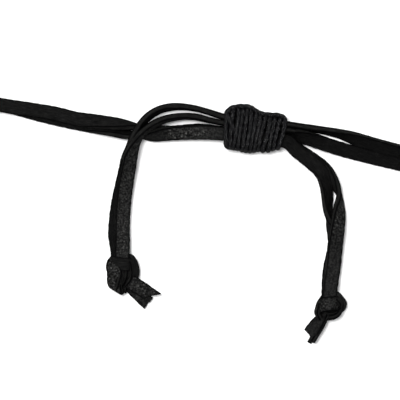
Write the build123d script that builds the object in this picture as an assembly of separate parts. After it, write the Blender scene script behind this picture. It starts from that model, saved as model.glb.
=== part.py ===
"""Black leather lace necklace with a sliding wound knot: the whole loop lying flat on a surface.

Millimetres, +Z up, +X and +Y in the plane the necklace lies on. The origin is under the middle of
the neck loop, on that surface, and the sliding knot is at the top of the loop.
"""

import math
import os

from build123d import *

# Driving dimensions of the materials
LACE_WIDTH = 3.2
LACE_THICKNESS = 1.3
LACE_GAP = 0.1
WOUND_CORD = 1.15

# The sliding knot: laces pass through it in an upper row on edge and a lower row laid flat
WRAP_PITCH = 1.15
WRAP_GROOVE = 0.28
KNOT_HEADING = -6.0
KNOT_CORNER = 2.1
FLOOR_GAP = 0.05
FIRST_LEAN = -2.0
LAST_LEAN = 12.0
MOUTH_LENGTH = 0.4
JOIN_FROM_MOUTH = 2.4

# Places: the closure is the middle of the sliding knot's passage
CLOSURE_AT = (9.5, 63.3)
PASSAGE_DROP = -0.45

# Finish of the solids' walls
ARC_STEP = 7.0
RUN_SHARE = 0.45
SAME_PLACE = 1e-6

# How much the wound cord is built up beyond one layer on each wrap, as shares of its diameter,
# from the left end to the right: at the top edge and at the bottom edge
WRAP_TABLE = [
    # top, bottom
    (0.20, 0.00),
    (0.90, 0.15),
    (1.15, 0.20),
    (1.25, 0.40),
    (1.30, 0.55),
    (0.75, 0.60),
    (0.35, 0.40),
    (0.30, 0.45),
    (0.25, 0.30),
    (0.35, 0.10),
    (0.35, 0.00),
    (0.05, 0.00),
]

# Worked out from the dimensions above
WRAP_COUNT = len(WRAP_TABLE)
KNOT_LENGTH = WRAP_COUNT * WRAP_PITCH
BORE_WIDTH = 2 * LACE_THICKNESS + LACE_WIDTH + 4 * LACE_GAP
BORE_HEIGHT = LACE_WIDTH + 2 * LACE_GAP
KNOT_HEIGHT = BORE_HEIGHT + 2 * WOUND_CORD
BORE_Z = FLOOR_GAP + KNOT_HEIGHT / 2
MOUTH = KNOT_LENGTH / 2 + MOUTH_LENGTH
JOIN = MOUTH - JOIN_FROM_MOUTH
OUTER_ACROSS = BORE_WIDTH / 2 - LACE_GAP - LACE_THICKNESS / 2
INNER_ACROSS = OUTER_ACROSS - LACE_THICKNESS - LACE_GAP
FLAT_ACROSS = INNER_ACROSS - LACE_THICKNESS / 2 - LACE_GAP - LACE_WIDTH / 2
FLAT_STEP = (LACE_THICKNESS + LACE_GAP) / 2
SIDE_STEP = (LACE_WIDTH + 2 * LACE_GAP) / 2

# Lace routes, point by point from the closure: x, y in millimetres, the height of the lace's middle
# in lace thicknesses, and how far the lace is turned from lying flat (0) to standing on edge (90)
OUTER_RIGHT = [
    # x, y, level, turned
    (11.6, 0.35, 1.97, 90),
    (16.2, -0.65, 1.42, 84),
    (20.6, -1.75, 1.37, 71),
    (25.0, -2.87, 1.38, 66),
    (32.5, -4.7, 1.38, 70),
    (39.0, -5.95, 1.22, 35),
]
INNER_RIGHT = [
    # x, y, level, turned
    (9.8, -1.0, 1.9, 86),
    (13.2, -2.4, 1.35, 42),
    (17.0, -3.7, 0.74, 8),
    (21.0, -4.9, 0.53, 0),
    (25.5, -6.1, 0.53, 0),
    (32.5, -7.68, 0.53, 0),
    (38.6, -9.5, 0.53, 0),
]
LOOP = [
    # x, y of the middle of the pair round the neck; the first and last rows only set its direction
    (32.5, -6.45),
    (45.0, -9.8),
    (58.0, -16.5),
    (69.5, -27.5),
    (77.0, -42.0),
    (80.0, -59.0),
    (78.5, -77.0),
    (72.0, -94.5),
    (60.5, -110.0),
    (45.0, -122.0),
    (26.5, -129.5),
    (6.0, -132.5),
    (-15.5, -131.0),
    (-36.5, -125.0),
    (-56.0, -115.0),
    (-73.0, -101.5),
    (-86.5, -85.0),
    (-95.5, -66.0),
    (-99.0, -45.5),
    (-97.5, -26.0),
    (-91.5, -9.5),
    (-82.0, 1.0),
]
OUTER_LEFT = [
    # x, y, level, turned
    (-83.0, 2.4, 0.95, 0),
    (-77.2, 6.2, 1.52, 0),
    (-70.8, 7.75, 1.65, 0),
    (-64.0, 6.8, 1.63, 0),
    (-57.5, 5.3, 1.62, 0),
    (-48.3, 3.4, 1.62, 0),
    (-40.0, 1.7, 1.84, 0),
    (-36.0, 1.5, 2.34, -35),
    (-32.0, 1.2, 1.8, -70),
    (-28.0, 0.5, 1.27, -90),
    (-24.0, 0.3, 1.33, -96),
    (-20.0, -0.3, 1.36, -135),
    (-16.0, -0.6, 0.8, -168),
    (-11.5, -0.5, 1.15, -174),
]
INNER_LEFT = [
    # x, y, level, turned
    (-81.0, -0.4, 0.53, 0),
    (-75.8, 2.7, 0.53, 0),
    (-70.2, 4.6, 0.53, 0),
    (-64.0, 5.8, 0.53, 0),
    (-57.5, 5.75, 0.53, 0),
    (-48.3, 4.1, 0.53, 0),
    (-40.0, 2.2, 0.56, 0),
    (-36.0, 0.8, 1.2, -35),
    (-32.0, -0.4, 1.4, -70),
    (-28.0, -1.2, 1.28, -90),
    (-24.0, -1.5, 1.33, -96),
    (-20.0, -1.4, 2.16, -135),
    (-16.0, -0.8, 2.04, -168),
    (-11.5, -0.5, 2.25, -174),
]
LEFT_TAIL_OUTER = [
    # x, y, level, turned
    (-10.3, 3.6, 2.3, -90),
    (-13.9, 4.9, 2.4, -90),
    (-17.8, 5.4, 2.6, -90),
    (-21.6, 4.7, 3.2, -90),
    (-24.8, 2.6, 3.85, -90),
    (-26.9, -0.5, 4.05, -90),
    (-28.2, -3.9, 3.75, -88),
    (-29.0, -6.9, 2.65, -76),
    (-29.8, -10.2, 1.52, -48),
    (-30.4, -13.8, 0.85, -14),
    (-30.9, -17.5, 0.55, 0),
    (-31.3, -20.8, 0.53, 0),
    (-31.2, -24.2, 0.62, 0),
    (-30.7, -26.9, 1.05, 0),
    (-30.7, -28.7, 1.05, 0),
]
LEFT_TAIL_INNER = [
    # x, y, level, turned
    (-10.2, 2.0, 2.3, -90),
    (-13.6, 2.95, 2.4, -90),
    (-17.3, 3.1, 2.7, -90),
    (-20.9, 2.2, 3.4, -90),
    (-23.8, 0.5, 4.0, -90),
    (-25.8, -2.1, 4.0, -90),
    (-26.9, -5.1, 3.4, -86),
    (-27.9, -8.3, 2.55, -68),
    (-28.8, -11.6, 2.2, -34),
    (-29.4, -15.0, 1.85, -9),
    (-29.8, -18.5, 1.65, 0),
    (-30.0, -21.8, 1.65, 0),
    (-29.9, -24.7, 1.82, 0),
    (-30.0, -26.9, 2.17, 0),
    (-30.0, -28.7, 2.17, 0),
]
RIGHT_TAIL_OUTER = [
    # x, y, level, turned
    (9.4, -4.1, 1.15, 0),
    (12.1, -6.0, 0.72, 5),
    (15.3, -9.1, 1.1, 25),
    (17.5, -13.0, 1.39, 65),
    (18.9, -17.0, 1.32, 100),
    (18.6, -21.1, 2.22, 142),
    (18.0, -25.2, 2.05, 170),
    (17.6, -29.0, 1.68, 180),
    (17.0, -32.4, 1.78, 180),
    (16.6, -34.9, 2.17, 180),
    (16.6, -36.8, 2.17, 180),
]
RIGHT_TAIL_INNER = [
    # x, y, level, turned
    (9.3, -4.3, 2.3, 0),
    (12.0, -6.2, 1.88, 5),
    (14.8, -9.5, 2.2, 25),
    (16.2, -13.4, 1.9, 65),
    (16.5, -17.2, 1.35, 100),
    (17.5, -21.4, 1.36, 142),
    (17.8, -25.4, 0.8, 170),
    (17.2, -29.2, 0.53, 180),
    (16.6, -32.4, 0.6, 180),
    (16.4, -34.9, 1.05, 180),
    (16.4, -36.8, 1.05, 180),
]

# End knots: each is turns of both laces, drawn tight, and the two cut ends that leave it
END_KNOTS = {
    "left_end_knot": {
        "turns": [
            # x, y, heading, length in widths, breadth in widths, height in thicknesses, level
            (-29.9, -30.4, -90, 1.06, 2.10, 4.3, 2.2),
            (-31.0, -33.6, -78, 1.75, 1.42, 3.9, 2.05),
            (-27.8, -31.5, -96, 1.55, 0.85, 3.0, 1.75),
        ],
        "ends": [
            # x, y, heading, length in widths, level, turned
            (-29.6, -33.6, -32, 2.45, 2.35, 0),
            (-29.4, -34.3, -43, 2.25, 1.20, 0),
        ],
    },
    "right_end_knot": {
        "turns": [
            # x, y, heading, length in widths, breadth in widths, height in thicknesses, level
            (16.4, -39.3, -90, 1.56, 1.40, 4.3, 2.2),
            (18.1, -39.9, -52, 1.05, 1.20, 3.6, 2.0),
            (15.7, -41.7, -115, 0.75, 1.45, 3.4, 1.8),
        ],
        "ends": [
            # x, y, heading, length in widths, level, turned
            (15.4, -42.0, -134, 1.60, 2.25, 0),
            (15.9, -42.2, -118, 2.10, 1.36, 78),
        ],
    },
}
TURN_CORNER = 0.55
NOTCH_DEPTH = 0.30
NOTCH_WIDTH = 0.40


def through_knot(along, across, height, turned=0):
    """A route row in the sliding knot's passage, placed along it, across it and above the surface."""
    heading = math.radians(KNOT_HEADING)
    x = along * math.cos(heading) - across * math.sin(heading)
    y = along * math.sin(heading) + across * math.cos(heading) + PASSAGE_DROP
    return x, y, height, turned


def standing(rows):
    """Route rows with their levels, counted in lace thicknesses, turned into heights."""
    return [(x, y, level * LACE_THICKNESS, turned) for x, y, level, turned in rows]


def beside(points, offset):
    """Points of a flat route moved sideways, to the left of the way it goes, lying on the surface."""
    moved = []
    for before, place, after in zip(points, points[1:], points[2:]):
        way = Vector(after[0] - before[0], after[1] - before[1]).normalized()
        moved.append((place[0] - way.Y * offset, place[1] + way.X * offset, LACE_THICKNESS / 2, 0))
    return moved


def corner_radii(points):
    """The largest tangent arc that fits each inner corner of a route."""
    radii = []
    for before, corner, after in zip(points, points[1:], points[2:]):
        way_in, way_out = corner - before, after - corner
        half_turn = math.radians(way_in.get_angle(way_out)) / 2
        radii.append(RUN_SHARE * min(way_in.length, way_out.length) / math.tan(half_turn))
    return radii


def lace_section(place, way, turned):
    """The lace's flat section across its way, turned from lying flat to standing on edge."""
    side = Vector(0, 0, 1).cross(way).normalized()
    up = way.cross(side)
    angle = math.radians(turned)
    broad = side * math.cos(angle) + up * math.sin(angle)
    return Plane(origin=place, x_dir=broad, z_dir=way) * Rectangle(LACE_WIDTH, LACE_THICKNESS)


def lace(name, rows):
    """A lace along straight runs joined by tangent arcs, turning between its points as its rows say."""
    corner = Vector(CLOSURE_AT[0], CLOSURE_AT[1], 0)
    points = [Vector(x, y, z) + corner for x, y, z, _ in rows]
    turns = [row[3] for row in rows]
    radii = corner_radii(points)
    pieces = FilletPolyline(*points, radius=radii).edges()
    stations = []
    turn_marks = [0.0]
    travelled = 0.0
    for piece in pieces:
        arc = piece.geom_type == GeomType.CIRCLE
        steps = max(1, math.ceil((piece % 0).get_angle(piece % 1) / ARC_STEP)) if arc else 1
        for step in range(steps):
            share = step / steps
            stations.append((travelled + piece.length * share, piece @ share, piece % share))
        if arc:
            turn_marks.append(travelled + piece.length / 2)
        travelled += piece.length
    stations.append((travelled, pieces[-1] @ 1, pieces[-1] % 1))
    turn_marks.append(travelled)
    sections = []
    for mark, place, way in stations:
        after = next(i for i, m in enumerate(turn_marks) if i and m >= mark - SAME_PLACE)
        share = (mark - turn_marks[after - 1]) / (turn_marks[after] - turn_marks[after - 1])
        share = min(1.0, max(0.0, share))
        turned = turns[after - 1] + (turns[after] - turns[after - 1]) * share
        sections.append(lace_section(place, way, turned))
    solid = loft(sections, ruled=True)
    share = solid.volume / (LACE_WIDTH * LACE_THICKNESS * travelled)
    print(f"{name}: length {travelled:.1f} mm, volume {share:.3f} of section times length")
    print("  radii " + " ".join(f"{radius:.0f}" for radius in radii))
    return solid


def sliding_knot():
    """Cord wound round the laces, built up at the left, with the passage that they run through."""
    sections = []
    for index in range(2 * WRAP_COUNT + 1):
        along = -KNOT_LENGTH / 2 + index * WRAP_PITCH / 2
        row = WRAP_TABLE[min(index // 2, WRAP_COUNT - 1)]
        before = WRAP_TABLE[max((index - 1) // 2, 0)]
        groove = 0.0 if index % 2 else WRAP_GROOVE
        top = BORE_WIDTH / 2 + WOUND_CORD * (1 + (row[0] + before[0]) / 2) - groove
        bottom = BORE_WIDTH / 2 + WOUND_CORD * (1 + (row[1] + before[1]) / 2) - groove
        lean = FIRST_LEAN + (LAST_LEAN - FIRST_LEAN) * index / (2 * WRAP_COUNT)
        x, y, z, _ = through_knot(along, (top - bottom) / 2, BORE_Z)
        heading = math.radians(KNOT_HEADING - lean)
        way = Vector(math.cos(heading), math.sin(heading), 0)
        plane = Plane(origin=Vector(x, y, z), x_dir=Vector(-way.Y, way.X, 0), z_dir=way)
        sections.append(plane * RectangleRounded(top + bottom, KNOT_HEIGHT - 2 * groove, KNOT_CORNER))
    x, y, z, _ = through_knot(0, 0, BORE_Z)
    passage = Box(2 * MOUTH + 4 * WOUND_CORD, BORE_WIDTH, BORE_HEIGHT)
    passage = Location((x, y, z), (0, 0, KNOT_HEADING)) * passage
    return Pos(CLOSURE_AT[0], CLOSURE_AT[1], 0) * (loft(sections, ruled=True) - passage)


def knot_turn(x, y, heading, length, breadth, height, level):
    """One drawn turn of the laces in an end knot, as a rounded block."""
    block = Box(length * LACE_WIDTH, breadth * LACE_WIDTH, height * LACE_THICKNESS)
    block = fillet(block.edges(), TURN_CORNER)
    return Location((x, y, level * LACE_THICKNESS), (0, 0, heading)) * block


def cut_end(x, y, heading, length, level, turned):
    """A lace's cut end with a small notch, starting inside the knot."""
    reach = length * LACE_WIDTH
    strip = Pos(reach / 2, 0, 0) * Box(reach, LACE_WIDTH, LACE_THICKNESS)
    notch = Pos(reach, 0, 0) * Rot(0, 0, 45) * Box(
        NOTCH_DEPTH * LACE_WIDTH, NOTCH_WIDTH * LACE_WIDTH, 2 * LACE_THICKNESS
    )
    strip = Rot(turned, 0, 0) * (strip - notch)
    return Location((x, y, level * LACE_THICKNESS), (0, 0, heading)) * strip


def end_knot(spec):
    """An overhand knot of both laces with its two cut ends, as one solid."""
    knot = None
    for row in spec["turns"]:
        knot = knot_turn(*row) if knot is None else knot + knot_turn(*row)
    for row in spec["ends"]:
        knot = knot + cut_end(*row)
    return Pos(CLOSURE_AT[0], CLOSURE_AT[1], 0) * knot


def tail(name, way, across, height, turned, rows):
    """A lace's tail, from its join inside the sliding knot, out of the mouth and along its rows."""
    start = [through_knot(way * along, across, height, turned) for along in (JOIN, MOUTH)]
    return lace(name, start + standing(rows))


def build():
    """Every piece of the necklace, by name."""
    upper = BORE_Z + FLAT_STEP
    lower = BORE_Z - FLAT_STEP
    outer = [through_knot(-JOIN, OUTER_ACROSS, BORE_Z, 90), through_knot(MOUTH, OUTER_ACROSS, BORE_Z, 90)]
    outer += standing(OUTER_RIGHT) + beside(LOOP, SIDE_STEP) + standing(OUTER_LEFT)
    outer += [through_knot(-MOUTH, FLAT_ACROSS, lower, -180), through_knot(JOIN, FLAT_ACROSS, lower, -180)]
    inner = [through_knot(-JOIN, INNER_ACROSS, BORE_Z, 90), through_knot(MOUTH, INNER_ACROSS, BORE_Z, 90)]
    inner += standing(INNER_RIGHT) + beside(LOOP, -SIDE_STEP) + standing(INNER_LEFT)
    inner += [through_knot(-MOUTH, FLAT_ACROSS, upper, -180), through_knot(JOIN, FLAT_ACROSS, upper, -180)]
    pieces = {
        "sliding_knot": sliding_knot(),
        "neck_lace_outer": lace("neck_lace_outer", outer),
        "neck_lace_inner": lace("neck_lace_inner", inner),
        "left_tail_outer": tail("left_tail_outer", -1, OUTER_ACROSS, BORE_Z, -90, LEFT_TAIL_OUTER),
        "left_tail_inner": tail("left_tail_inner", -1, INNER_ACROSS, BORE_Z, -90, LEFT_TAIL_INNER),
        "right_tail_outer": tail("right_tail_outer", 1, FLAT_ACROSS, lower, 0, RIGHT_TAIL_OUTER),
        "right_tail_inner": tail("right_tail_inner", 1, FLAT_ACROSS, upper, 0, RIGHT_TAIL_INNER),
    }
    for name, spec in END_KNOTS.items():
        pieces[name] = end_knot(spec)
    return pieces


os.makedirs("parts", exist_ok=True)
for node, solid in build().items():
    solid.label = node
    export_step(solid, f"parts/{node}.step")
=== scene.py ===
"""Black leather lace necklace with a sliding wound knot: its visible pieces, finishes and studio.

Metres, +Z up from the surface that the necklace lies on, the sliding knot at the top of the loop.
Rows are written in millimetres from the closure, the middle of the sliding knot.
"""

from __future__ import annotations

import logging
import math
from dataclasses import dataclass, field
from enum import Enum

import bmesh
import bpy
import numpy as np
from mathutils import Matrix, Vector

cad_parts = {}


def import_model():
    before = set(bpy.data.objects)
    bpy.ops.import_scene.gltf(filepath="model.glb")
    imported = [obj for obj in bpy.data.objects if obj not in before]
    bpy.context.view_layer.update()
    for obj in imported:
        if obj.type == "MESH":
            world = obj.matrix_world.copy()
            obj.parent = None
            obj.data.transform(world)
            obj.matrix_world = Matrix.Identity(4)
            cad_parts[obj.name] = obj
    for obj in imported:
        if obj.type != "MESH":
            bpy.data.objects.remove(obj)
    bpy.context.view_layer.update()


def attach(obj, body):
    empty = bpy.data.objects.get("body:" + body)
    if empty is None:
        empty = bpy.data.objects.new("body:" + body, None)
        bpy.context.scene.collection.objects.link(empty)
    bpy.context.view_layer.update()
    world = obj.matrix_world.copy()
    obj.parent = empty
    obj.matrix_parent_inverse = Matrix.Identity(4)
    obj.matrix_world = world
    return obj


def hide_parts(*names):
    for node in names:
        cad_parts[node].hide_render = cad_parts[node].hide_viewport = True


LOG = logging.getLogger("lace_necklace")

Row = tuple[float, ...]
Rows = tuple[Row, ...]
Place = tuple[float, float, float]
Colour = tuple[float, float, float]
Pair = tuple[float, float]
Array = np.ndarray
Socket = bpy.types.NodeSocket
Tree = bpy.types.NodeTree
Piece = bpy.types.Object
Finish = bpy.types.Material
# Values or sockets for a node's inputs, by name or number
Inputs = dict[int | str, object]

MM = 0.001
LACE_WIDTH = 0.0032
# The lace where it is drawn tight in an end knot
DRAWN_THICKNESS = 0.00105
DRAWN_CUPPING = 0.00010
# Step between the control points of the spline that a lace's turning is read from
TURN_STEP = 0.01
# Keeps equal directions apart in a spline
NUDGE = 1e-6
# How far a lace is turned, in degrees
FLAT = 0
ON_EDGE = 90
TURNED_OVER = -180

# Shares of the waves in a ripple, and the range of their phases
RIPPLE_SHARES = (1.0, 0.57, 0.31)
PHASES = 6.28
# Noise detail, fine and broad
FINE = 3.0
BROAD = 2.0
FIBRE_ROUGHNESS = 0.6
FIBRE_RANGE = (0.35, 0.68)
SPECK_RANGE = (0.72, 0.9)

# The closure and the sliding knot's passage, as the solids have them
CLOSURE = (0.0095, 0.0633)
PASSAGE_DROP = -0.00045
KNOT_HEADING = math.radians(-6.0)
BORE_Z = 0.0029
MOUTH = 0.0073
JOIN = 0.0049
OUTER_ACROSS = 0.00235
INNER_ACROSS = 0.00095
FLAT_ACROSS = -0.0014
FLAT_STEP = 0.0007
SIDE_STEP = 0.0017

# Lace routes: x, y, the height of the lace's middle in lace thicknesses, and how far the lace is
# turned from lying flat (0) to standing on edge (90)
OUTER_RIGHT: Rows = (
    (11.6, 0.38, 1.97, 86), (15.6, -0.3, 1.5, 79), (19, -0.99, 1.38, 69), (21.2, -1.69, 1.38, 54),
    (24, -2.65, 1.45, 38), (28.5, -3.94, 1.5, 36), (32.5, -4.99, 1.45, 42), (39, -6.1, 1.15, 30),
)
INNER_RIGHT: Rows = (
    (8.6, -1, 1.9, 56), (10.2, -1.55, 1.8, 40), (13.2, -2.48, 1.3, 20), (17, -3.83, 0.72, 5),
    (21, -5.03, 0.53, 0), (25.5, -6.24, 0.53, 0), (32.5, -7.79, 0.53, 0), (38.6, -9.54, 0.53, 0),
)
OUTER_LEFT: Rows = (
    (-83, 2.4, 0.95, 0), (-77.2, 6.2, 1.52, 0), (-70.8, 7.75, 1.65, 0), (-64, 6.9, 1.63, 0),
    (-57.5, 5.3, 1.62, 0), (-48.3, 4.1, 1.62, 0), (-44, 3.22, 1.7, 0), (-40, 2.12, 1.84, 0),
    (-36, 1.64, 2.3, -22), (-32, 1.16, 2, -45), (-29, 0.8, 1.6, -64), (-26, 0.36, 1.3, -90),
    (-23, -0.35, 1.2, -140), (-20, -1, 0.95, -158), (-16, -0.7, 0.8, -168), (-12.2, -0.2, 1.1, -174),
)
INNER_LEFT: Rows = (
    (-81, -0.4, 0.53, 0), (-75.8, 2.7, 0.53, 0), (-70.2, 4.6, 0.53, 0), (-64, 5.8, 0.53, 0),
    (-57.5, 5.7, 0.53, 0), (-48.3, 3.15, 0.53, 0), (-44, 2.08, 0.53, 0), (-40, 1.3, 0.56, 0),
    (-36, 0.53, 1.1, -30), (-32, -0.82, 1.35, -72), (-29, -1.38, 1.33, -66), (-26, -1.57, 1.38, -90),
    (-23.5, -1.65, 1.85, -130), (-20.5, -1.15, 1.95, -152), (-16.5, -0.88, 2.04, -166),
    (-11.5, -0.76, 2.2, -174),
)
LEFT_TAIL_OUTER: Rows = (
    (-10.4, 3.8, 2.35, -88), (-13.9, 4.8, 2.4, -88), (-17.8, 5.19, 2.6, -83), (-21.6, 4.51, 3.2, -76),
    (-24.8, 2.4, 3.85, -76), (-26.95, -0.6, 4.05, -80), (-27.95, -2.9, 3.75, -78),
    (-28.35, -4.8, 2.75, -56), (-28.7, -6.4, 2.1, -34), (-29.05, -8.3, 1.65, -12),
    (-29.85, -11.5, 1.1, 0), (-30.6, -15, 0.7, 0), (-31.15, -17.8, 0.55, 0), (-31.5, -20.8, 0.53, 0),
    (-31.75, -24.2, 0.62, 0), (-31.1, -26.9, 1.35, 0), (-30.8, -30.2, 1.68, 0),
)
LEFT_TAIL_INNER: Rows = (
    (-10.2, 1.79, 2.45, -87), (-13.6, 2.75, 2.5, -86), (-17.3, 2.75, 2.7, -83),
    (-20.9, 1.95, 3.4, -78), (-23.8, 0.35, 4, -76), (-26.4, -2, 4.1, -76), (-27.58, -4.5, 4.05, -48),
    (-28.13, -6.2, 3.45, -24), (-28.33, -8.2, 2.9, -8), (-28.95, -11.5, 2.25, 0),
    (-29.45, -15, 1.9, 0), (-29.75, -18.5, 1.72, 0), (-29.9, -21.8, 1.65, 0), (-29.82, -24.7, 1.95, 0),
    (-29.9, -26.9, 2.45, 0), (-29.95, -30.2, 2.75, 0),
)
RIGHT_TAIL_OUTER: Rows = (
    (9.1, -4.48, 1.15, 0), (12.1, -6.37, 0.72, 5), (15.7, -8.95, 1.1, 25), (17.75, -12, 1.39, 60),
    (18.8, -14.2, 1.42, 84), (19.1, -16, 1.7, 104), (18.92, -17.6, 2.2, 126), (18.8, -19.4, 2.5, 146),
    (18.55, -21.8, 2.75, 159), (18.2, -24.4, 2.6, 168), (17.92, -27.2, 1.95, 178),
    (17.65, -31.2, 1.72, 180), (17, -34.4, 2.25, 180), (16.55, -38.3, 2.75, 180),
)
RIGHT_TAIL_INNER: Rows = (
    (8.9, -4.7, 2.3, 0), (11.72, -6.85, 1.88, -5), (14.95, -9.6, 2.2, -22), (15.95, -13.2, 1.9, -46),
    (16.13, -17, 1.5, -58), (16.28, -19.2, 1.38, -74), (16.63, -21.2, 1.38, -100),
    (17.72, -23.4, 1.22, -148), (17.92, -26, 0.68, -172), (17.4, -29, 0.53, -180),
    (16.8, -31.4, 0.55, -180), (16.45, -34.6, 1.15, -180), (16.4, -38.3, 1.68, -180),
)
# The neck loop's middle, x and y, from the right of the knot round to the left
LOOP: Rows = (
    (32.5, -6.45), (45, -9.8), (58, -16.5), (69.5, -27.5), (77, -42), (80, -59), (78.5, -77),
    (72, -94.5), (60.5, -110), (45, -122), (26.5, -129.5), (6, -132.5), (-15.5, -131), (-36.5, -125),
    (-56, -115), (-73, -101.5), (-86.5, -85), (-95.5, -66), (-99, -45.5), (-97.5, -26), (-91.5, -9.5),
    (-82, 1),
)

# Wraps of the wound cord, left to right: x and y of the turn over the top edge, x at the waist,
# x and y of the turn under the bottom edge
WRAPS: Rows = (
    (-6.35, 3.75, -6.6, -6.6, -3.85), (-4.95, 4.75, -5.4, -5.85, -4.2),
    (-3.65, 4.95, -4.2, -5.1, -4.2), (-2.75, 5.02, -3.36, -4.05, -4.5),
    (-1.8, 5.05, -2.3, -3.1, -4.84), (-0.75, 4.75, -1.38, -2.2, -5), (0.3, 4, -0.42, -1.35, -5.05),
    (1.25, 3.42, 0.45, -0.45, -4.95), (2.35, 3.05, 1.46, 0.5, -4.75), (3.5, 2.75, 2.55, 1.52, -4.95),
    (4.4, 2.66, 3.68, 2.7, -4.9), (5.5, 2.6, 4.8, 3.75, -4.55), (6.62, 2.02, 6.02, 4.95, -4.3),
)
# Strands that lie over the wraps: x, y, z
TOP_STRAND: Rows = (
    (-6.08, 1.12, 4.9), (-6.62, 2.36, 5), (-6.62, 3.6, 4.7), (-5.78, 4.6, 4.8), (-4.39, 5, 4.95),
    (-2.81, 5.12, 5), (-1.35, 4.98, 4.95), (-0.11, 4.05, 4.8), (1.24, 3.38, 4.6), (2.59, 3.2, 4.55),
    (3.83, 3.1, 4.6), (5.06, 3.1, 4.6), (6.1, 2.79, 4.5), (6.71, 1.96, 4.3), (6.77, 0.9, 3.9),
    (6.32, -0.11, 3.3),
)
BOTTOM_STRAND: Rows = (
    (-6.01, -1.58, 4.6), (-6.72, -2.7, 4.7), (-6.72, -3.95, 4.2), (-5.5, -4.35, 4), (-4.16, -4.4, 4),
    (-2.81, -4.65, 3.9), (-1.58, -4.85, 3.4), (-0.79, -4.5, 2.6),
)
CROSSING_STRAND: Rows = (
    (-6.28, 3.04, 4.9), (-5.92, 1.91, 5.55), (-5.38, 0.79, 5.7), (-5.02, -0.34, 5.3),
    (-4.93, -1.35, 4.6),
)

# Distance back from a neck lace's left end inside the knot, and how pebbled its grain is and how pale its
# fibres are painted there
NECK_PEBBLING_AND_TONE: Rows = (
    (500, 0), (200, 0.1), (70, 0.3), (26.2, 0.2), (24.5, 1.1), (18.5, 1.2), (14.5, 0.8), (12.5, 0.25),
    (0, 0.1),
)


class Face(Enum):
    """Which face of the leather a strip shows on its upper side."""

    GRAIN = 1
    FLESH = -1


@dataclass(frozen=True)
class KnotStrip:
    """One drawn turn or cut end of the leather in an end knot, in millimetres.

    Rows hold x, y, z and the direction across the strip, left out where it stays the same.
    """

    name: str
    face: Face
    rows: Rows
    cut_slant: float = 0.0
    width: float = LACE_WIDTH / MM
    pebbling_and_tone: float = 0.95

    def table(self) -> Array:
        """The rows with every direction, in metres."""
        filled: list[Row] = []
        for row in self.rows:
            filled.append(row if len(row) > 3 else (*row, *filled[-1][3:]))
        return np.array(filled) * ([MM] * 3 + [1.0] * 3)


LEFT_KNOT_STRIPS = (
    KnotStrip("band", Face.FLESH, (
        (-31, -30.5, 0.8, 0.3, 0.95, 0), (-32.2, -30.2, 1.4, 0.32, 0.94, 0),
        (-32.6, -30.1, 2.9, 0.35, 0.93, 0), (-32.1, -30.1, 4.4, 0.27, 0.96, 0),
        (-30.8, -30.4, 5, 0.03, 1, 0), (-29, -30.4, 4.8, 0, 1, 0), (-28.4, -30.5, 3.3),
        (-28.6, -30.6, 1.6), (-29.8, -30.7, 0.7),
    ), width=3, pebbling_and_tone=0.3),
    KnotStrip("grain_turn", Face.GRAIN, (
        (-31.4, -29.7, 3.6, 0.88, -0.48, 0), (-32.2, -30.6, 5, 0.93, -0.38, 0),
        (-31.7, -32, 5.3, 1, -0.15, 0.02), (-31.85, -33.6, 4.9, 1, -0.08, 0.08),
        (-31.7, -35.2, 4.3, 0.9, -0.42, 0.05), (-31.15, -36.5, 2.8, 0.82, -0.57, 0),
        (-30.8, -35.8, 1.2, 0.85, -0.5, 0), (-30, -34.5, 0.7, 0.9, -0.4, 0),
    )),
    KnotStrip("first_fold", Face.FLESH, (
        (-29.6, -30.8, 3.7, 0.55, 0.1, -0.83), (-29.7, -32.5, 4.3),
        (-30.2, -34.1, 4.6, 0.6, 0.15, -0.79), (-30.5, -35.2, 3.8, 0.6, 0, -0.8),
        (-30.4, -36, 2.4, 0.65, -0.2, -0.7), (-29.8, -35.7, 1.1, 0.85, -0.3, -0.4),
    ), width=2.8, pebbling_and_tone=0.6),
    KnotStrip("second_fold", Face.GRAIN, (
        (-28.4, -31, 3.2, 0.45, 0.1, -0.89), (-28.5, -32.8, 3.5), (-29.1, -34.5, 3.3),
        (-29.9, -35.8, 2.3, 0.5, -0.1, -0.8), (-29.8, -35.7, 1.1, 0.7, -0.2, -0.6),
    ), width=2.6, pebbling_and_tone=0.35),
    KnotStrip("side_turn", Face.GRAIN, (
        (-29.7, -29.2, 2.6, 0, -0.5, 1), (-28.6, -29, 2.9, -0.3, -0.5, 1),
        (-27.8, -30, 3.1, -0.6, -0.2, 1), (-27.4, -31.4, 3, -0.7, 0, 1),
        (-27.4, -33, 2.8, -0.6, 0.1, 1), (-28, -34.3, 2.6, -0.3, 0.2, 1), (-29.1, -35, 2.4, 0, 0.2, 1),
    ), pebbling_and_tone=0.3),
    KnotStrip("upper_end", Face.GRAIN, (
        (-30, -33, 3, 0.57, 0.82, 0), (-27.9, -34.6, 3.4, 0.57, 0.82, 0.05), (-25.7, -35.9, 3.2),
        (-23.3, -37.6, 2.7, 0.57, 0.82, -0.05),
    ), cut_slant=3.1, width=3.3),
    KnotStrip("lower_end", Face.GRAIN, (
        (-29.8, -33.5, 1.6, 0.72, 0.69, 0), (-27.7, -35.8, 1.6), (-25.9, -37.5, 1.3, 0.72, 0.69, 0.05),
        (-24.1, -39.3, 0.9),
    ), cut_slant=-0.4, pebbling_and_tone=0.7),
)
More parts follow.
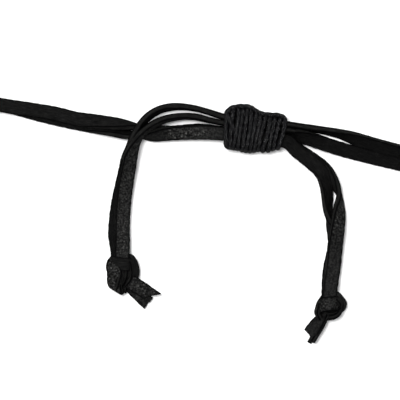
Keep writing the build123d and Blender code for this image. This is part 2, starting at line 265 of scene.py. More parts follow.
RIGHT_KNOT_STRIPS = (
    KnotStrip("band", Face.GRAIN, (
        (15.6, -40.8, 1, -0.12, 1, 0), (14.7, -40.4, 1.8), (14.5, -40, 3.2),
        (15, -39.6, 4.5, -0.1, 1, 0), (16.1, -39.3, 5, 0, 1, 0), (17.3, -39.2, 5, 0.08, 1, 0),
        (18.2, -39.2, 4.2, 0.1, 1, 0), (18.4, -39.5, 2.7), (17.7, -39.9, 1.3),
    ), pebbling_and_tone=0.75),
    KnotStrip("upper_side_turn", Face.GRAIN, (
        (16.6, -37.7, 2.8, 0, -0.5, 1), (17.8, -37.5, 3.3, -0.2, -0.6, 1),
        (18.6, -38.3, 3.5, -0.6, -0.3, 1), (19.4, -39.3, 3.3, -0.6, 0.1, 1),
        (18.9, -40.3, 2.8, -0.5, 0.4, 1), (18.4, -40.8, 2.4, 0, 0.5, 1),
    ), pebbling_and_tone=0.75),
    KnotStrip("lower_side_turn", Face.GRAIN, (
        (19.2, -39.7, 2, 0, 0.1, 1), (19.1, -40.9, 2.4), (18.4, -41.9, 2.7), (16.9, -42.5, 2.4),
        (15.6, -42.3, 2),
    ), width=3, pebbling_and_tone=0.8),
    KnotStrip("lower_turn", Face.FLESH, (
        (14.6, -40.8, 2.8, -0.1, 0.6, 0.8), (15.5, -41.3, 3.3), (16.7, -41.6, 3.4, 0, 0.6, 0.8),
        (17.9, -41.3, 3.1, 0.1, 0.6, 0.8), (18.7, -40.5, 2.5, 0.2, 0.6, 0.8),
    ), width=2.6, pebbling_and_tone=0.6),
    KnotStrip("left_side_turn", Face.GRAIN, (
        (15.1, -37.9, 2.2, 0, 0, 1), (14.35, -38.9, 2.7, 0.15, 0, 1), (14, -40.4, 2.9, 0.2, 0, 1),
        (13.7, -41.8, 2.6), (14.7, -42.8, 2.2, 0, 0, 1),
    ), width=3),
    KnotStrip("upper_end", Face.GRAIN, (
        (15.6, -41.1, 2.4, 0.45, -0.3, 0.85), (14.8, -42.6, 2.9, 0.55, -0.37, 0.75),
        (13.3, -44.5, 3, 0.8, -0.54, 0.25), (12, -46.4, 2.6, 0.83, -0.56, 0.05),
    ), cut_slant=1, pebbling_and_tone=0.35),
    KnotStrip("lower_end", Face.GRAIN, (
        (16, -41, 1.8, 0.2, -0.1, 1), (15.1, -43.5, 1.8), (13.7, -45.8, 1.8),
        (12.4, -48, 1.8, 0.15, -0.1, 1),
    ), cut_slant=-0.8, pebbling_and_tone=0),
)


def in_frame(places: Array) -> Array:
    """Places from the closure moved into the necklace's frame."""
    return places + (*CLOSURE, 0.0)


def smooth_line(places: Array, resolution: int = 14) -> Array:
    """Points read from a smooth spline.

    Args:
        places: the spline's control points, one row each.
        resolution: points read for each of its stretches.

    Returns:
        The points, one row each.
    """
    data = bpy.data.curves.new("route", "CURVE")
    data.dimensions = "3D"
    data.resolution_u = resolution
    spline = data.splines.new("NURBS")
    spline.points.add(len(places) - 1)
    for point, place in zip(spline.points, places):
        point.co = (*place, 1.0)
    spline.order_u = 3
    spline.use_endpoint_u = True
    holder = bpy.data.objects.new("route", data)
    mesh = bpy.data.meshes.new_from_object(holder)
    flat = np.empty(len(mesh.vertices) * 3)
    mesh.vertices.foreach_get("co", flat)
    bpy.data.meshes.remove(mesh)
    bpy.data.objects.remove(holder)
    bpy.data.curves.remove(data)
    return flat.reshape(-1, 3)


def unit(vectors: Array) -> Array:
    """Vectors, one row each, brought to length one."""
    return vectors / np.linalg.norm(vectors, axis=1, keepdims=True)


def distances_along(line: Array) -> Array:
    """How far along a line each of its points lies."""
    steps = np.linalg.norm(np.diff(line, axis=0), axis=1)
    return np.concatenate([[0.0], np.cumsum(steps)])


def read_at(marks: Array, distances: Array, values: Array) -> Array:
    """Columns of values read at marks along a line."""
    return np.stack([np.interp(marks, distances, column) for column in values.T], axis=1)


def ripple(marks: Array, seed: int, wavelength: float) -> Array:
    """A smooth irregular wave between about -1 and 1.

    Args:
        marks: distances at which the wave is read.
        seed: choice of the wave.
        wavelength: its usual length.

    Returns:
        The wave's height at each mark.
    """
    chance = np.random.default_rng(seed)
    wave = np.zeros_like(marks)
    for share in RIPPLE_SHARES:
        wave += share * np.sin(marks * (2 * math.pi / (wavelength * share)) + chance.uniform(0, PHASES))
    return wave / sum(RIPPLE_SHARES)


def shown(name: str, mesh: bpy.types.Mesh) -> Piece:
    """An object of a mesh, linked to the scene."""
    piece = bpy.data.objects.new(name, mesh)
    bpy.context.scene.collection.objects.link(piece)
    return piece


def mesh_object(name: str, places: Array, faces: list[tuple[int, ...]]) -> Piece:
    """A shown object from places and faces, with its faces pointing outwards."""
    mesh = bpy.data.meshes.new(name)
    mesh.from_pydata(places.tolist(), [], faces)
    shape = bmesh.new()
    shape.from_mesh(mesh)
    bmesh.ops.recalc_face_normals(shape, faces=shape.faces)
    shape.to_mesh(mesh)
    shape.free()
    mesh.shade_smooth()
    return shown(name, mesh)


@dataclass(frozen=True)
class LaceStock:
    """The flat leather lace that every strip is cut from."""

    width: float = LACE_WIDTH
    thickness: float = 0.0013
    grain_corner: float = 0.00032
    flesh_corner: float = 0.00020
    cupping: float = 0.00007
    ragged: float = 0.000045
    face_edge_shade: float = 0.3
    edge_flesh: float = 0.5
    edge_shares: tuple[float, ...] = (0.5, 0.0, -0.5)
    face_points: int = 9
    corner_points: int = 3

    def section(self, width: float) -> tuple[Array, Array, Array, Array]:
        """The lace's cut outline, once round.

        Args:
            width: the strip's width.

        Returns:
            Places across and through the strip, how much each is cut edge, how much flesh side, and how
            much painted shade it takes at the rounded corners and the edges of the faces.
        """
        half, deep = width / 2, self.thickness / 2
        corners = (self.grain_corner, self.flesh_corner)
        rows: list[Row] = []
        for sign, (corner, other) in ((1, corners), (-1, corners[::-1])):
            back = 1.0 if sign < 0 else 0.0
            for share in np.linspace(-1, 1, self.face_points):
                # The edges of each face take some of the corners' painted shade
                edge_shade = self.face_edge_shade if abs(share) == 1 else 0.0
                lift = sign * deep - self.cupping * share * share
                rows.append((sign * (half - corner) * share, lift, 0.0, back, edge_shade))
            for step in range(1, self.corner_points + 1):
                rows.append(self._corner_row(sign, sign, half, corner, step, back))
            for share in self.edge_shares:
                lift = sign * share * (deep - corner) - self.cupping
                rows.append((sign * half, lift, 1.0, self.edge_flesh, 0.0))
            for step in range(self.corner_points, 0, -1):
                rows.append(self._corner_row(sign, -sign, half, other, step, 1.0 - back))
        table = np.array(rows)
        return table[:, :2], table[:, 2], table[:, 3], table[:, 4]

    def _corner_row(self, way: int, up: int, half: float, radius: float, step: int, back: float) -> Row:
        """One point of a rounded corner: its place, cut edge, flesh side and share of the corners' painted
        shade.
        """
        angle = math.pi / 2 * step / (self.corner_points + 1)
        across = way * (half - radius + radius * math.sin(angle))
        lift = up * (self.thickness / 2 - radius + radius * math.cos(angle)) - self.cupping
        return across, lift, step / self.corner_points, back, 1.0


@dataclass
class Strip:
    """A strip of leather along a smooth line.

    Args:
        name: the piece's name.
        line: places along its middle.
        across: direction across the strip at each place.
        stock: the lace it is cut from.
        face: which face is on the side that its turn points to.
        seed: choice of its small irregularities.
        pebbling_and_tone: rows of distance in millimetres and how pebbled its grain is there, which also
            sets how pale its fibres and pebble tops are painted, partly as wear and partly as painted
            highlight.
        width: its width.
        squeeze: how much narrower it is drawn at each place.
        cut_slant: how far one corner of its cut end reaches beyond the other.
        slant_start: distance from which that end is drawn out of square.
        notch: depth of the nick in that end.

    Its waves hold a height and a length, or the lengths of a wave and the finer one on it.
    """

    name: str
    line: Array
    across: Array
    stock: LaceStock
    face: Face
    seed: int
    pebbling_and_tone: Rows
    width: float = LACE_WIDTH
    squeeze: Array | float = 1.0
    cut_slant: float = 0.0
    slant_start: float = 0.0
    notch: float = 0.0
    breadth_wave: Pair = (0.022, 0.013)
    depth_wave: Pair = (0.05, 0.009)
    left_waves: Pair = (0.0021, 0.0007)
    right_waves: Pair = (0.0024, 0.0008)
    fine_share: float = 0.6
    nick_place: float = -0.25
    nick_width: float = 0.3

    def build(self) -> Piece:
        """Make the strip's mesh.

        Returns:
            The piece, with its own map along and round the strip.
        """
        marks = distances_along(self.line)
        way = unit(np.gradient(self.line, axis=0))
        across = unit(self.across - way * np.sum(self.across * way, axis=1, keepdims=True))
        through = np.cross(way, across) * self.face.value
        section, cut, flesh, corners = self.stock.section(self.width)
        rings, count = len(marks), len(section)
        (wide, wide_length), (deep, deep_length) = self.breadth_wave, self.depth_wave
        breadth = (1 + wide * ripple(marks, self.seed, wide_length)) * self.squeeze
        body = 1 + deep * ripple(marks, self.seed + 1, deep_length)
        left = self._fray(marks, self.seed + 2, self.left_waves)
        right = self._fray(marks, self.seed + 4, self.right_waves)
        fray = np.where(section[None, :, 0] > 0, left[:, None], right[:, None]) * self.stock.ragged
        reach = section[None, :, 0] * breadth[:, None] + np.sign(section[:, 0]) * cut * fray
        depth = section[None, :, 1] * body[:, None]
        places = (
            self.line[:, None, :]
            + across[:, None, :] * reach[:, :, None]
            + through[:, None, :] * depth[:, :, None]
        )
        if self.cut_slant:
            self._cut_end(places, reach, way, marks)
        turns = [(spot, (spot + 1) % count) for spot in range(count)]
        first, last = rings * count, rings * count + 1
        faces = [
            (start + spot, start + after, start + count + after, start + count + spot)
            for start in range(0, first - count, count) for spot, after in turns
        ]
        for spot, after in turns:
            faces += [(first, after, spot), (last, first - count + spot, first - count + after)]
        ends = [places[0].mean(axis=0), places[-1].mean(axis=0)]
        piece = mesh_object(self.name, np.vstack([places.reshape(-1, 3), ends]), faces)

        cuts = np.tile(cut, (rings, 1))
        cuts[0], cuts[-1] = 1.0, 1.0
        pebbling_and_tone = np.array(self.pebbling_and_tone)
        pebbling_and_tone = np.interp(marks, pebbling_and_tone[:, 0] * MM, pebbling_and_tone[:, 1])
        for name, values, middle in (
            ("cut_edge", cuts, 1.0), ("flesh_side", np.tile(flesh, rings), self.stock.edge_flesh),
            ("corner", np.tile(corners, rings), 0.0), ("pebbling_and_tone", np.repeat(pebbling_and_tone, count), 0.0),
        ):
            layer = piece.data.attributes.new(name, "FLOAT", "POINT")
            layer.data.foreach_set("value", np.append(values, [middle, middle]).astype(np.float32))
        self._map(piece.data, marks, section)
        return piece

    def _fray(self, marks: Array, seed: int, waves: Pair) -> Array:
        """The ragged line of an edge: a wave with a finer one on it."""
        return ripple(marks, seed, waves[0]) + self.fine_share * ripple(marks, seed + 1, waves[1])

    def _cut_end(self, places: Array, reach: Array, way: Array, marks: Array) -> None:
        """Slant and notch the strip's far end by moving its last places along it."""
        share = np.clip((marks - self.slant_start) / (marks[-1] - self.slant_start), 0, 1)
        side = reach / (self.width / 2)
        nick = np.exp(-(((side - self.nick_place) / self.nick_width) ** 2)) * self.notch
        shift = side * self.cut_slant / 2 - nick
        places += way[:, None, :] * (shift * share[:, None] ** 2)[:, :, None]

    def _map(self, mesh: bpy.types.Mesh, marks: Array, section: Array) -> None:
        """Lay a map on the strip, metres along it and metres round it."""
        around = distances_along(np.vstack([section, section[:1]]))
        loops = np.empty(len(mesh.loops), dtype=np.int64)
        mesh.loops.foreach_get("vertex_index", loops)
        along = np.append(marks, 0.0)[loops // len(section)]
        turn = around[loops % len(section)]
        for face in mesh.polygons:
            corners = turn[face.loop_start:face.loop_start + face.loop_total]
            if corners.max() - corners.min() > around[-1] / 2:
                corners[corners < around[-1] / 2] += around[-1]
        layer = mesh.uv_layers.new(name="strip")
        layer.data.foreach_set("uv", np.stack([along, turn], axis=1).astype(np.float32).ravel())


@dataclass
class LaceRoute:
    """A lace's route: rows of its place, and how far it is turned there in degrees."""

    thickness: float
    rows: list[Row] = field(default_factory=list)

    def through(self, along: float, across: float, height: float, turned: float) -> LaceRoute:
        """Add a place in the sliding knot's passage.

        Args:
            along: distance from the passage's middle towards its right mouth.
            across: distance towards the knot's top edge.
            height: height over the surface.
            turned: how far the lace is turned there.

        Returns:
            The route.
        """
        x = along * math.cos(KNOT_HEADING) - across * math.sin(KNOT_HEADING)
        y = along * math.sin(KNOT_HEADING) + across * math.cos(KNOT_HEADING) + PASSAGE_DROP
        self.rows.append((x, y, height, turned))
        return self

    def drawn(self, rows: Rows) -> LaceRoute:
        """Add drawn rows, whose heights are counted in lace thicknesses, and return the route."""
        self.rows += [(x * MM, y * MM, level * self.thickness, turned) for x, y, level, turned in rows]
        return self

    def beside(self, points: Rows, offset: float) -> LaceRoute:
        """Add points moved to the left of the way they go, lying flat, and return the route."""
        for before, place, after in zip(points, points[1:], points[2:]):
            way = Vector((after[0] - before[0], after[1] - before[1])).normalized() * offset
            self.rows.append((place[0] * MM - way.y, place[1] * MM + way.x, self.thickness / 2, FLAT))
        return self

    def stations(self, fine: float, coarse: float = 0.0, near: float = math.inf) -> tuple[Array, Array]:
        """Read the route as a smooth line.

        Args:
            fine: step along it near its ends.
            coarse: step between them.
            near: how far from its ends the fine step reaches.

        Returns:
            Places in the frame, and the direction across the lace at each.
        """
        table = np.array(self.rows)
        line = smooth_line(in_frame(table[:, :3]))
        spread = [(turn, index * TURN_STEP, 0) for index, turn in enumerate(np.radians(table[:, 3]))]
        turned = smooth_line(spread)[:, 0]
        distances = distances_along(line)
        length = distances[-1]
        marks = [0.0]
        while marks[-1] < length:
            inside = min(marks[-1], length - marks[-1])
            marks.append(marks[-1] + (fine if inside < near else coarse))
        marks = np.array(marks[:-1] + [length])
        line = read_at(marks, distances, line)
        turned = np.interp(marks, distances, turned)[:, None]
        way = unit(np.gradient(line, axis=0))
        side = unit(np.cross([[0.0, 0.0, 1.0]], way))
        return line, side * np.cos(turned) + np.cross(way, side) * np.sin(turned)


class Bench:
    """Adds nodes to one node tree and links them."""

    def __init__(self, tree: Tree) -> None:
        """Work on the given tree."""
        self.tree = tree

    def add(self, kind: str, inputs: Inputs | None = None, **settings: object) -> bpy.types.Node:
        """Add a node.

        Args:
            kind: the node's type name.
            inputs: what its inputs are given.
            settings: its own properties.

        Returns:
            The node.
        """
        node = self.tree.nodes.new(kind)
        for name, value in settings.items():
            setattr(node, name, value)
        for key, value in (inputs or {}).items():
            if isinstance(value, Socket):
                self.tree.links.new(value, node.inputs[key])
            else:
                node.inputs[key].default_value = value
        return node

    def out(self, kind: str, inputs: Inputs | None = None, **settings: object) -> Socket:
        """Add a node, and return its first output."""
        return self.add(kind, inputs, **settings).outputs[0]

    def math(self, operation: str, *values: object) -> Socket:
        """The result of a Math node on the given values or sockets."""
        return self.out("ShaderNodeMath", dict(enumerate(values)), operation=operation)

    def times(self, first: object, second: object) -> Socket:
        """Two numbers multiplied."""
        return self.math("MULTIPLY", first, second)

    def line(self, value: object, slope: object, start: object) -> Socket:
        """A value times a slope, plus a start."""
        return self.math("MULTIPLY_ADD", value, slope, start)

    def less(self, value: object) -> Socket:
        """One less a value."""
        return self.math("SUBTRACT", 1.0, value)

    def mix(self, factor: object, first: object, second: object) -> Socket:
        """Two colours mixed by a factor, each a socket or a colour."""
        sides = {6: first, 7: second}
        sides = {key: (*side, 1.0) if isinstance(side, tuple) else side for key, side in sides.items()}
        return self.add("ShaderNodeMix", {0: factor, **sides}, data_type="RGBA").outputs[2]

    def blend(self, factor: object, first: object, second: object) -> Socket:
        """Two numbers mixed by a factor."""
        return self.out("ShaderNodeMix", {0: factor, 2: first, 3: second}, data_type="FLOAT")

    def ramp(self, value: Socket, low: float, high: float) -> Socket:
        """A value brought from the range low to high into 0 to 1, with soft ends."""
        return self.out("ShaderNodeMapRange", {0: value, 1: low, 2: high}, interpolation_type="SMOOTHSTEP")

    def noise(self, place: object, scale: float, detail: float, rough: float = 0.5) -> Socket:
        """A Noise Texture's value at a place."""
        inputs = {"Vector": place, "Scale": scale, "Detail": detail, "Roughness": rough}
        return self.out("ShaderNodeTexNoise", inputs)

    def read(self, name: str) -> Socket:
        """A number stored on the piece under a name."""
        return self.add("ShaderNodeAttribute", attribute_name=name).outputs["Fac"]

    def group(self, tree: Tree, inputs: Inputs) -> Socket:
        """The first output of a shader group."""
        return self.out("ShaderNodeGroup", inputs, node_tree=tree)

    def store(self, geometry: object, name: str, value: object) -> Socket:
        """A geometry with a number stored on its points under a name."""
        inputs = {"Geometry": geometry, "Name": name, "Value": value}
        return self.out("GeometryNodeStoreNamedAttribute", inputs, data_type="FLOAT", domain="POINT")


def new_group(name: str, output: str, vector: str = "", **numbers: float) -> Bench:
    """A bench on a new shader group.

    Args:
        name: the group's name.
        output: its output, a number.
        vector: its vector input, if it has one.
        numbers: its number inputs and their values.

    Returns:
        The bench.
    """
    tree = bpy.data.node_groups.new(name, "ShaderNodeTree")
    if vector:
        tree.interface.new_socket(vector, in_out="INPUT", socket_type="NodeSocketVector")
    for title, value in numbers.items():
        given = tree.interface.new_socket(title, in_out="INPUT", socket_type="NodeSocketFloat")
        given.default_value = value
    tree.interface.new_socket(output, in_out="OUTPUT", socket_type="NodeSocketFloat")
    return Bench(tree)


def fibre_group() -> Tree:
    """The shader group for fibres that run along a strip or strand.

    Returns:
        A group with the inputs Along, Around, Length and Thickness, and the output Fibres.
    """
    bench = new_group("long_fibres", "Fibres", Along=0.0, Around=0.0, Length=0.002, Thickness=0.0001)
    given = bench.add("NodeGroupInput").outputs
    along = bench.math("DIVIDE", given["Along"], given["Length"])
    around = bench.math("DIVIDE", given["Around"], given["Thickness"])
    place = bench.out("ShaderNodeCombineXYZ", {0: along, 1: around})
    fibres = bench.noise(place, 1.0, FINE, FIBRE_ROUGHNESS)
    bench.add("NodeGroupOutput", {"Fibres": bench.ramp(fibres, *FIBRE_RANGE)})
    return bench.tree


def dust_group() -> Tree:
    """The shader group for pale specks that lie on black leather and cord.

    Returns:
        A group with the inputs Vector, Size and Amount, and the output Specks.
    """
    bench = new_group("pale_specks", "Specks", "Vector", Size=0.0002, Amount=0.5)
    given = bench.add("NodeGroupInput").outputs
    scale = bench.math("DIVIDE", 1.0, given["Size"])
    cells = bench.add("ShaderNodeTexVoronoi", {"Vector": given["Vector"], "Scale": scale}).outputs
    speck = bench.ramp(bench.less(cells["Distance"]), *SPECK_RANGE)
    chance = bench.out("ShaderNodeSeparateColor", {0: cells["Color"]})
    speck = bench.times(speck, bench.math("LESS_THAN", chance, given["Amount"]))
    bench.add("NodeGroupOutput", {"Specks": speck})
    return bench.tree


def new_material(name: str) -> tuple[Finish, Bench]:
    """A material with an empty node tree, and a bench on it."""
    material = bpy.data.materials.new(name)
    material.use_nodes = True
    material.node_tree.nodes.clear()
    return material, Bench(material.node_tree)


@dataclass(frozen=True)
class Gloss:
    """A thin clear coat over a rough body, and the bumps that both follow."""

    weight: float
    roughness: float
    relief: float
    strength: float = 1.0
    ior: float = 2.6

    def close(self, bench: Bench, colour: object, rough: object, height: object) -> None:
        """End a material's tree.

        Args:
            bench: the bench on the tree.
            colour: the body's colour.
            rough: the body's roughness.
            height: the height of the bumps, in shares of the relief.
        """
        bumps = {"Strength": self.strength, "Distance": self.relief, "Height": height}
        bump = bench.out("ShaderNodeBump", bumps)
        shader = bench.out("ShaderNodeBsdfPrincipled", {
            "Base Color": colour, "Roughness": rough, "Normal": bump, "Specular IOR Level": 0.0,
            "Coat Weight": self.weight, "Coat IOR": self.ior, "Coat Roughness": self.roughness,
            "Coat Normal": bump,
        })
        bench.add("ShaderNodeOutputMaterial", {0: shader})


@dataclass(frozen=True)
class Dust:
    """Pale specks on a finish: their size, how many cells have one, their cover and colour."""

    size: float
    amount: float
    cover: float
    colour: Colour

    def over(self, bench: Bench, specks: Tree, place: object, colour: object) -> object:
        """A colour with the specks on it."""
        found = bench.group(specks, {"Vector": place, "Size": self.size, "Amount": self.amount})
        return bench.mix(bench.times(found, self.cover), colour, self.colour)


@dataclass(frozen=True)
class LaceLeather:
    """Black dyed leather lace: pebbled grain, fibrous flesh side and cut edges, with painted shade on its
    rounded corners and in the creases between pebbles, and pebble tops paler, partly as wear and partly as
    painted highlight.

    Fields of two numbers are a length and a thickness for fibres, the two ends of a range, or a slope
    and a start.
    """

    grain_colour: Colour = (0.0034, 0.0034, 0.0035)
    flesh_colour: Colour = (0.0016, 0.0016, 0.0017)
    edge_colour: Colour = (0.0040, 0.0040, 0.0039)
    # Painted shade for the rounded corners and for the creases between pebbles
    painted_shade_colour: Colour = (0.0004, 0.0004, 0.0005)
    # Paler colour for worn fibres and pebble tops, which is also the painted highlight on the pebble tops
    wear_and_highlight_colour: Colour = (0.0740, 0.0738, 0.0705)
    dust: Dust = Dust(0.00024, 0.07, 0.35, (0.070, 0.070, 0.066))
    gloss: Gloss = Gloss(0.009, 0.36, 0.00010)

    grain_roughness: float = 0.44
    crease_roughening: float = 0.18
    patch_roughening: float = 0.12
    flesh_roughness: float = 0.74
    edge_roughness: float = 0.82
    corner_roughness: float = 0.9

    nap: Pair = (0.0019, 0.00013)
    yarn: Pair = (0.0034, 0.00034)
    pebble_size: float = 0.00072
    pebble_range: Pair = (0.14, 0.56)
    bend: Colour = (0.00034, 0.00034, 0.00034)
    bend_scale: float = 900.0
    pore_scale: float = 5200.0
    mottle_scale: float = 2500.0
    mottle_range: Pair = (0.40, 0.66)
    patch_scale: float = 210.0
    patch_range: Pair = (0.36, 0.66)

    yarn_height: Pair = (-0.5, 0.75)
    grain_pores: float = 0.22
    flesh_pores: float = 0.45
    flesh_nap: float = 0.8
    edge_nap: float = 1.3

    # How the pebble tops are made paler: partly wear, partly painted highlight
    top_sharpness: float = 1.8
    top_mottle: Pair = (0.7, 0.3)
    top_patch: Pair = (0.35, 0.65)
    rubbed_patch: Pair = (0.03, 0.03)
    rubbed_yarn: float = 0.045
    rubbed_mottle: float = 0.21
    flesh_wear: Pair = (0.30, 0.06)
    edge_wear: float = 0.2

    def build(self, fibres: Tree, specks: Tree) -> Finish:
        """Make the material.

        Args:
            fibres: the long-fibre group.
            specks: the pale-speck group.

        Returns:
            The material.
        """
        material, bench = new_material("black_lace_leather")
        times, line = bench.times, bench.line
        spot = bench.add("ShaderNodeTexCoord").outputs
        place = spot["Object"]
        cut, back, corner, pebbling_and_tone = map(bench.read, ("cut_edge", "flesh_side", "corner", "pebbling_and_tone"))
        strip = bench.add("ShaderNodeSeparateXYZ", {0: spot["UV"]}).outputs
        nap, yarn = (
            bench.group(fibres, {"Along": strip[0], "Around": strip[1], "Length": long, "Thickness": thick})
            for long, thick in (self.nap, self.yarn)
        )
        dome = self._pebbles(bench, place)
        pores = bench.noise(place, self.pore_scale, FINE)
        mottle = bench.ramp(bench.noise(place, self.mottle_scale, FINE), *self.mottle_range)
        patch = bench.ramp(bench.noise(place, self.patch_scale, BROAD), *self.patch_range)

        grain_height = line(pores, self.grain_pores, times(yarn, line(pebbling_and_tone, *self.yarn_height)))
        grain_height = line(dome, pebbling_and_tone, grain_height)
        flesh_height = line(pores, self.flesh_pores, times(nap, self.flesh_nap))
        edge_height = line(nap, self.edge_nap, pores)
        height = bench.blend(cut, bench.blend(back, grain_height, flesh_height), edge_height)

        # Pebble tops made paler: partly wear, partly painted highlight
        tops = times(bench.math("POWER", dome, self.top_sharpness), line(mottle, *self.top_mottle))
        tops = times(times(tops, times(pebbling_and_tone, pebbling_and_tone)), line(patch, *self.top_patch))
        rubbed = line(yarn, self.rubbed_yarn, times(mottle, line(patch, *self.rubbed_patch)))
        rubbed = line(times(mottle, pebbling_and_tone), self.rubbed_mottle, rubbed)
        # Painted shade in the creases between the pebbles
        grain = bench.mix(times(bench.less(dome), pebbling_and_tone), self.grain_colour, self.painted_shade_colour)
        grain = bench.mix(bench.math("MAXIMUM", tops, rubbed), grain, self.wear_and_highlight_colour)
        flesh = bench.mix(times(nap, line(pebbling_and_tone, *self.flesh_wear)), self.flesh_colour, self.wear_and_highlight_colour)
        edge = bench.mix(times(nap, self.edge_wear), self.edge_colour, self.wear_and_highlight_colour)
        colour = bench.mix(cut, bench.mix(back, grain, flesh), edge)
        # Painted shade along the rounded corners, darkening the rims
        colour = bench.mix(corner, colour, self.painted_shade_colour)

        rough = line(bench.less(dome), self.crease_roughening, self.grain_roughness)
        rough = line(patch, self.patch_roughening, rough)
        for share, other in (
            (back, self.flesh_roughness), (cut, self.edge_roughness), (corner, self.corner_roughness),
        ):
            rough = bench.blend(share, rough, other)
        self.gloss.close(bench, self.dust.over(bench, specks, place, colour), rough, height)
        return material

    def _pebbles(self, bench: Bench, place: Socket) -> Socket:
        """Rounded irregular pebbles of the grain, 1 on their tops and 0 in the creases between."""
        bend = {"Vector": place, "Scale": self.bend_scale, "Detail": BROAD}
        bend = bench.add("ShaderNodeTexNoise", bend).outputs["Color"]
        bend = {0: bend, 1: self.bend, 2: place}
        bent = bench.out("ShaderNodeVectorMath", bend, operation="MULTIPLY_ADD")
        cells = {"Vector": bent, "Scale": 1 / self.pebble_size}
        cells = bench.add("ShaderNodeTexVoronoi", cells, feature="F1").outputs["Distance"]
        return bench.less(bench.ramp(cells, *self.pebble_range))


@dataclass(frozen=True)
class WaxedCord:
    """Black waxed cord: a soft gloss on its plies and a dull wax bloom between them."""

    colour: Colour = (0.0006, 0.0006, 0.0011)
    bloom_colour: Colour = (0.0040, 0.0039, 0.0060)
    dust: Dust = Dust(0.00018, 0.06, 0.4, (0.12, 0.12, 0.13))
    gloss: Gloss = Gloss(0.078, 0.22, 0.00004, strength=0.8)
    roughness: float = 0.27
    bloom_roughening: float = 0.22
    yarn_roughening: float = 0.10
    bloom_scale: float = 1400.0
    bloom_range: Pair = (0.52, 0.78)
    bloom_cover: float = 0.4
    yarn_length: float = 0.0012
    yarn_angle: float = 0.045

    def build(self, fibres: Tree, specks: Tree) -> Finish:
        """Make the material.

        Args:
            fibres: the long-fibre group.
            specks: the pale-speck group.

        Returns:
            The material.
        """
        material, bench = new_material("black_waxed_cord")
        place = bench.add("ShaderNodeTexCoord").outputs["Object"]
        yarn = bench.group(fibres, {
            "Along": bench.read("along_cord"), "Around": bench.read("round_cord"),
            "Length": self.yarn_length, "Thickness": self.yarn_angle,
        })
        wide = bench.noise(place, self.bloom_scale, FINE)
        bloom = bench.ramp(wide, *self.bloom_range)
        colour = bench.mix(bench.times(bloom, self.bloom_cover), self.colour, self.bloom_colour)
        rough = bench.line(bloom, self.bloom_roughening, self.roughness)
        rough = bench.line(yarn, self.yarn_roughening, rough)
        height = bench.math("ADD", wide, yarn)
        self.gloss.close(bench, self.dust.over(bench, specks, place, colour), rough, height)
        return material


@dataclass(frozen=True)
class CordStock:
    """The waxed cord that the sliding knot is wound from."""

    diameter: float = 0.00112
    plies: int = 3
    ply_depth: float = 0.085
    twist_length: float = 0.0052
    step: float = 0.00014
    round_points: int = 21

    def sizes(self) -> dict[str, float]:
        """The inputs of the cord's tree and their values."""
        return {
            "Diameter": self.diameter, "Plies": float(self.plies), "Ply Depth": self.ply_depth,
            "Twist Length": self.twist_length, "Step": self.step,
        }

    def tree(self, material: Finish) -> Tree:
        """The geometry tree that turns lines into plied cord.

        Args:
            material: the cord's finish.

        Returns:
            A tree with the inputs Diameter, Plies, Ply Depth, Twist Length and Step.
        """
        tree = bpy.data.node_groups.new("plied_cord", "GeometryNodeTree")
        tree.interface.new_socket("Geometry", in_out="INPUT", socket_type="NodeSocketGeometry")
        for name, value in self.sizes().items():
            given = tree.interface.new_socket(name, in_out="INPUT", socket_type="NodeSocketFloat")
            given.default_value = value
        tree.interface.new_socket("Geometry", in_out="OUTPUT", socket_type="NodeSocketGeometry")
        bench = Bench(tree)
        given = bench.add("NodeGroupInput").outputs
        lines = bench.out("GeometryNodeMeshToCurve", {0: given["Geometry"]})
        even = {"Curve": lines, "Length": given["Step"]}
        even = bench.out("GeometryNodeResampleCurve", even, mode="LENGTH")
        reach = bench.add("GeometryNodeSplineParameter").outputs["Length"]
        marked = bench.store(even, "along_cord", reach)
        twist = bench.times(bench.math("DIVIDE", reach, given["Twist Length"]), 2 * math.pi)
        twisted = bench.out("GeometryNodeSetCurveTilt", {"Curve": marked, "Tilt": twist})
        ring = {"Resolution": self.round_points, "Radius": bench.times(given["Diameter"], 0.5)}
        ring = bench.out("GeometryNodeCurvePrimitiveCircle", ring, mode="RADIUS")
        place = bench.out("GeometryNodeInputPosition")
        parts = bench.add("ShaderNodeSeparateXYZ", {0: place}).outputs
        angle = bench.math("ARCTAN2", parts[1], parts[0])
        lobes = bench.math("COSINE", bench.times(angle, given["Plies"]))
        swell = bench.line(lobes, given["Ply Depth"], bench.less(given["Ply Depth"]))
        shaped = bench.out("ShaderNodeVectorMath", {0: place, "Scale": swell}, operation="SCALE")
        ring = bench.out("GeometryNodeSetPosition", {"Geometry": ring, "Position": shaped})
        ring = bench.store(ring, "round_cord", angle)
        cord = {"Curve": twisted, "Profile Curve": ring, "Fill Caps": True}
        made = bench.out("GeometryNodeCurveToMesh", cord)
        for kind in ("GeometryNodeSetShadeSmooth", "GeometryNodeRealizeInstances"):
            made = bench.out(kind, {"Geometry": made})
        made = bench.out("GeometryNodeSetMaterial", {"Geometry": made, "Material": material})
        bench.add("NodeGroupOutput", {0: made})
        return tree


